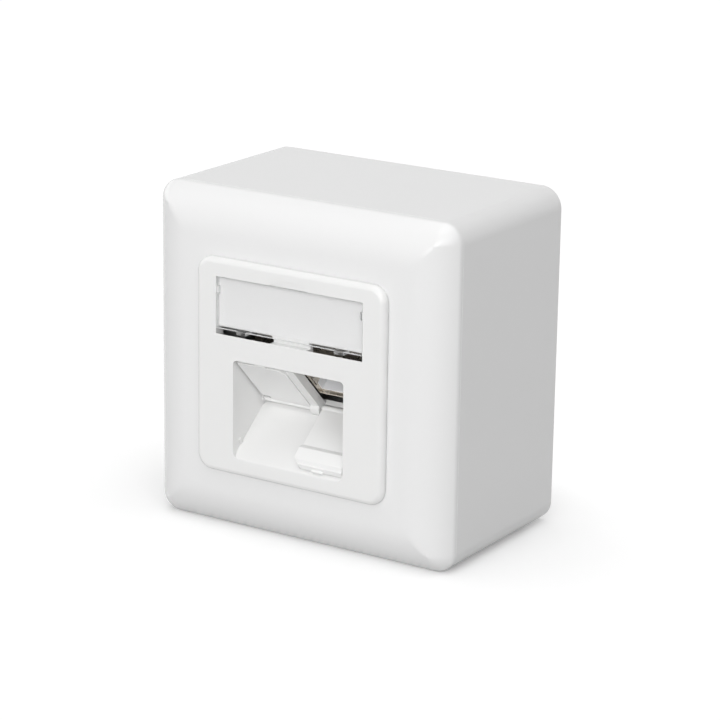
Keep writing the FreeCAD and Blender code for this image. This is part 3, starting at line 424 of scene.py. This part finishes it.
# ---- centre plate ----------------------------------------------------------------------------
# One moulding in the same white: the 50 mm panel with its label recess, the hooded recess of
# the ports, the hinge trough and the rib between the two shutters.
plate_face = 50.65
rim_gap = 0.2
rim_reach = 24.5
label_top, label_foot = 20.9, 8.85
scoop_floor, scoop_depth = 49.75, 0.35
slot_start, slot_rise = 4.8, 0.35
recess_half = 14.75
hinge_height, hinge_level = 38.15, -9.45
boss_radius = 1.1
boss_proud = 0.3
boss_root = 0.2


def plate_details(mesh):
    """The dark gap under the plate's rim, the shallow finger scoop and the full label slots."""
    for v in mesh.verts:
        x, h, z = v.co.x / MM, -v.co.y / MM, v.co.z / MM
        if abs(h - frame_land) < 0.01 and max(abs(x), abs(z)) > rim_reach:
            v.co.y -= rim_gap * MM
        elif abs(h - scoop_floor) < 0.01 and z > label_top - 0.1:
            v.co.y = -(plate_face - scoop_depth) * MM
        elif abs(z - label_foot) < 0.01 and abs(x) > slot_start and h < plate_face - 0.5:
            v.co.z += slot_rise * MM


def hinge_bosses():
    """The flat round bosses about the pin holes in the two side walls of the recess."""
    mesh = bmesh.new()
    for side in (-1, 1):
        boss = bmesh.ops.create_cone(mesh, segments=32, radius1=boss_radius, radius2=boss_radius,
                                     depth=boss_proud + boss_root, cap_ends=True)["verts"]
        bmesh.ops.rotate(mesh, cent=(0, 0, 0), matrix=Matrix.Rotation(math.radians(90), 3, "Y"),
                         verts=boss)
        middle = recess_half + (boss_root - boss_proud) / 2
        bmesh.ops.translate(mesh, vec=(side * middle, -hinge_height, hinge_level), verts=boss)
    bmesh.ops.scale(mesh, vec=(MM, MM, MM), verts=mesh.verts)
    return mesh


plate_white = moulded("plate_white", (0.82, 0.82, 0.815), polish=0.12)
broken_edges("centre_plate", plate_white, "base", radius=0.00012, crease=40, reshape=plate_details)
bosses = finish_piece("hinge_bosses", hinge_bosses(), plate_white, "base")

# ---- label card and window -------------------------------------------------------------------
# A blank white card under a clear moulded window, flush with the plate, that hooks in at its
# lower edge and is levered out at the notch above. The window's cut edges are left frosted.
card_white = moulded("card_white", (0.84, 0.84, 0.84), polish=0.6, waves=0.02, peel=0.15)


def shorten_card(mesh):
    """The card ends a little above the window's lower edge, over the slots."""
    low = min(v.co.z for v in mesh.verts)
    for v in mesh.verts:
        if v.co.z < low + 0.1 * MM:
            v.co.z += slot_rise * MM


broken_edges("label_card", card_white, "base", radius=0.00004, reshape=shorten_card)


def clear_plastic():
    """Clear plastic that lets the lamps' light through to the card behind it."""
    material = bpy.data.materials.new("clear_plastic")
    material.use_nodes = True
    tree = material.node_tree
    shader = tree.nodes["Principled BSDF"]
    shader.inputs["Base Color"].default_value = (0.98, 0.98, 0.98, 1)
    shader.inputs["Transmission Weight"].default_value = 1.0
    shader.inputs["IOR"].default_value = 1.49
    effect = tree.nodes.new("ShaderNodeGroup")
    effect.node_tree = moulded_effect
    effect.inputs["Polish"].default_value = 0.02
    effect.inputs["Waves"].default_value = 0.05
    effect.inputs["Peel"].default_value = 0.0
    path = tree.nodes.new("ShaderNodeLightPath")
    passing = tree.nodes.new("ShaderNodeBsdfTransparent")
    passing.inputs["Color"].default_value = (0.96, 0.96, 0.96, 1)
    either = tree.nodes.new("ShaderNodeMath")
    either.operation = "MAXIMUM"
    mix = tree.nodes.new("ShaderNodeMixShader")
    out = tree.nodes["Material Output"]
    tree.links.new(effect.outputs["Roughness"], shader.inputs["Roughness"])
    tree.links.new(effect.outputs["Normal"], shader.inputs["Normal"])
    tree.links.new(path.outputs["Is Shadow Ray"], either.inputs[0])
    tree.links.new(path.outputs["Is Diffuse Ray"], either.inputs[1])
    tree.links.new(either.outputs[0], mix.inputs["Fac"])
    tree.links.new(shader.outputs[0], mix.inputs[1])
    tree.links.new(passing.outputs[0], mix.inputs[2])
    tree.links.new(mix.outputs[0], out.inputs["Surface"])
    return material


window = broken_edges("label_window", clear_plastic(), "window", radius=0.00008)
frosted = moulded("clear_plastic_edge", (0.86, 0.87, 0.87), polish=0.5, waves=0.02)
frosted.node_tree.nodes["Principled BSDF"].inputs["Transmission Weight"].default_value = 0.4
window.data.materials.append(frosted)
hook_face_area = 1e-5
for face in window.data.polygons:
    at_foot = face.center.z < (label_foot + 0.05) * MM
    on_hook = at_foot and abs(face.normal.x) < 0.5 and face.area < hook_face_area
    face.material_index = 1 if abs(face.normal.y) < 0.5 and not on_hook else 0

# ---- shutters --------------------------------------------------------------------------------
# Two small flaps of the plate's plastic, each with a barrel, pins and a grip pad, sprung into
# the plate. The left one is shut, the right one lies open on the recess floor.
# Painted light: the plate's plastic is painted lighter here than on the plate, to make up for the shade in
# the recess.
shutter_painted_lighter = moulded("shutter_painted_lighter", (0.86, 0.86, 0.855), polish=0.14)
broken_edges("shutter_left", shutter_painted_lighter, "left_flap", radius=0.00012)
broken_edges("shutter_right", shutter_painted_lighter, "right_flap", radius=0.00012)

# ---- jacks -----------------------------------------------------------------------------------
# Each is a light grey plastic body pushed into a folded can of nickel-plated sheet, with eight
# gold-plated springs. The can's side walls are folded in beside the plug as ground springs.
# Painted light: the body's grey is painted lighter than its own to make up for the shade inside the port.
jack_grey_painted_lighter = moulded("jack_grey_painted_lighter", (0.87, 0.88, 0.90), polish=0.3)


def plated_surface():
    """The look of plated or cast metal: cloudy tone, and a grain that can be drawn out."""
    group = bpy.data.node_groups.new("plated_surface", "ShaderNodeTree")
    for name, kind, value in (("Color", "NodeSocketColor", (0.6, 0.6, 0.6, 1)),
                              ("Cloud", "NodeSocketFloat", 0.15), ("Gloss", "NodeSocketFloat", 0.3),
                              ("Grain", "NodeSocketFloat", 0.1), ("Stretch", "NodeSocketVector", (1, 1, 1))):
        group.interface.new_socket(name, in_out="INPUT", socket_type=kind).default_value = value
    for name, kind in (("Color", "NodeSocketColor"), ("Roughness", "NodeSocketFloat"),
                       ("Normal", "NodeSocketVector")):
        group.interface.new_socket(name, in_out="OUTPUT", socket_type=kind)
    given = group.nodes.new("NodeGroupInput")
    result = group.nodes.new("NodeGroupOutput")
    place = group.nodes.new("ShaderNodeTexCoord")
    link = group.links.new
    cloud = group.nodes.new("ShaderNodeTexNoise")
    cloud.inputs["Scale"].default_value = 260
    cloud.inputs["Detail"].default_value = 3
    link(place.outputs["Object"], cloud.inputs["Vector"])
    drawn = group.nodes.new("ShaderNodeVectorMath")
    drawn.operation = "MULTIPLY"
    link(place.outputs["Object"], drawn.inputs[0])
    link(given.outputs["Stretch"], drawn.inputs[1])
    grain = group.nodes.new("ShaderNodeTexNoise")
    grain.inputs["Scale"].default_value = 3000
    grain.inputs["Detail"].default_value = 2
    link(drawn.outputs[0], grain.inputs["Vector"])
    middle = group.nodes.new("ShaderNodeMath")
    middle.operation = "SUBTRACT"
    middle.inputs[1].default_value = 0.5
    link(cloud.outputs["Fac"], middle.inputs[0])
    share = group.nodes.new("ShaderNodeMath")
    share.operation = "MULTIPLY_ADD"
    share.inputs[2].default_value = 1
    link(middle.outputs[0], share.inputs[0])
    link(given.outputs["Cloud"], share.inputs[1])
    tint = group.nodes.new("ShaderNodeVectorMath")
    tint.operation = "SCALE"
    link(given.outputs["Color"], tint.inputs[0])
    link(share.outputs[0], tint.inputs["Scale"])
    link(tint.outputs[0], result.inputs["Color"])
    rough = group.nodes.new("ShaderNodeMath")
    rough.operation = "MULTIPLY_ADD"
    rough.inputs[1].default_value = 0.12
    link(grain.outputs["Fac"], rough.inputs[0])
    link(given.outputs["Gloss"], rough.inputs[2])
    link(rough.outputs[0], result.inputs["Roughness"])
    bump = group.nodes.new("ShaderNodeBump")
    bump.inputs["Distance"].default_value = 0.00003
    link(given.outputs["Grain"], bump.inputs["Strength"])
    link(grain.outputs["Fac"], bump.inputs["Height"])
    link(bump.outputs["Normal"], result.inputs["Normal"])
    return group


plated_effect = plated_surface()


def metal(name, color, gloss, cloud=0.15, grain=0.1, stretch=(1, 1, 1)):
    """A metal finish from the effect above."""
    material = bpy.data.materials.new(name)
    material.use_nodes = True
    tree = material.node_tree
    shader = tree.nodes["Principled BSDF"]
    shader.inputs["Metallic"].default_value = 1
    effect = tree.nodes.new("ShaderNodeGroup")
    effect.node_tree = plated_effect
    effect.inputs["Color"].default_value = (*color, 1)
    effect.inputs["Cloud"].default_value = cloud
    effect.inputs["Gloss"].default_value = gloss
    effect.inputs["Grain"].default_value = grain
    effect.inputs["Stretch"].default_value = stretch
    tree.links.new(effect.outputs["Color"], shader.inputs["Base Color"])
    tree.links.new(effect.outputs["Roughness"], shader.inputs["Roughness"])
    tree.links.new(effect.outputs["Normal"], shader.inputs["Normal"])
    return material


nickel = metal("nickel", (0.66, 0.61, 0.54), gloss=0.22, stretch=(1, 0.15, 0.15))
gold = metal("gold", (0.83, 0.62, 0.22), gloss=0.2)
port_spread = 7.85
plug_half = 5.9
shield_half = 6.25
shield_face = -1.85
spring_sheet = 0.14
spring_low, spring_high = 7.6, 13.7
spring_depth = 6.2
tongue_outline = [(10.5, 0), (10.5, -0.4), (9.9, -0.4), (9.9, -2.8), (10.2, -2.8), (10.2, -0.7),
                  (10.8, -0.7), (10.8, 0)]


def turn_into_port(mesh):
    """Turns a piece drawn with Y up the ports' slope and Z out of them into its place."""
    slope = Matrix.Rotation(math.radians(135), 3, "X")
    bmesh.ops.rotate(mesh, cent=(0, 0, 0), matrix=slope, verts=mesh.verts)
    bmesh.ops.translate(mesh, vec=(0, -hinge_height, hinge_level), verts=mesh.verts)
    bmesh.ops.scale(mesh, vec=(MM, MM, MM), verts=mesh.verts)


def ground_springs(x):
    """The can's sheet along both side walls of a port, with a tongue cut free for the plug."""
    mesh = bmesh.new()
    outline = [(spring_low, 0), *tongue_outline, (spring_high, 0), (spring_high, -spring_depth),
               (spring_low, -spring_depth)]
    for side in (-1, 1):
        wall = [mesh.verts.new((x + side * plug_half, u, shield_face + n)) for u, n in outline]
        sheet = bmesh.ops.extrude_face_region(mesh, geom=[mesh.faces.new(wall)])["geom"]
        bmesh.ops.translate(mesh, vec=(-side * spring_sheet, 0, 0),
                            verts=[v for v in sheet if isinstance(v, bmesh.types.BMVert)])
        fold = bmesh.ops.create_cube(mesh, size=1)["verts"]
        reach = shield_half - plug_half + spring_sheet
        bmesh.ops.scale(mesh, vec=(reach, spring_high - spring_low, spring_sheet), verts=fold)
        bmesh.ops.translate(mesh, verts=fold, vec=(x + side * (shield_half - reach / 2),
                                                   (spring_low + spring_high) / 2,
                                                   shield_face - spring_sheet / 2))
    bmesh.ops.recalc_face_normals(mesh, faces=mesh.faces)
    turn_into_port(mesh)
    return mesh


for side, x in (("left", -port_spread), ("right", port_spread)):
    broken_edges("jack_insert_" + side, jack_grey_painted_lighter, "base", radius=0.00008)
    broken_edges("jack_shield_" + side, nickel, "base", radius=0.00006)
    springs = finish_piece("ground_springs_" + side, ground_springs(x), nickel, "base")
    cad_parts["jack_contacts_" + side].data.materials[0] = gold

# ---- module ----------------------------------------------------------------------------------
# Behind the plate: a die-cast housing and hood, the green board with its two terminal blocks,
# the cable clamps, and the zinc-plated support plate and screws that hold it all in the box.
cast_grey = metal("cast_grey", (0.52, 0.52, 0.52), gloss=0.42, cloud=0.3, grain=0.6)
zinc = metal("zinc", (0.62, 0.61, 0.58), gloss=0.28, cloud=0.4)
board_green = moulded("board_green", (0.03, 0.16, 0.07), polish=0.3, tone=0.25)
block_white = moulded("block_white", (0.62, 0.61, 0.58), polish=0.4)
inside = {"module_housing": cast_grey, "module_rear_cover": cast_grey, "circuit_board": board_green,
          "support_plate": zinc, "support_screws": zinc, "module_screws": zinc, "centre_plate_screw": zinc}
for side in ("left", "right"):
    inside["terminal_block_" + side] = block_white
    inside["cable_clamp_" + side] = nickel
for node, material in inside.items():
    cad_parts[node].data.materials[0] = material
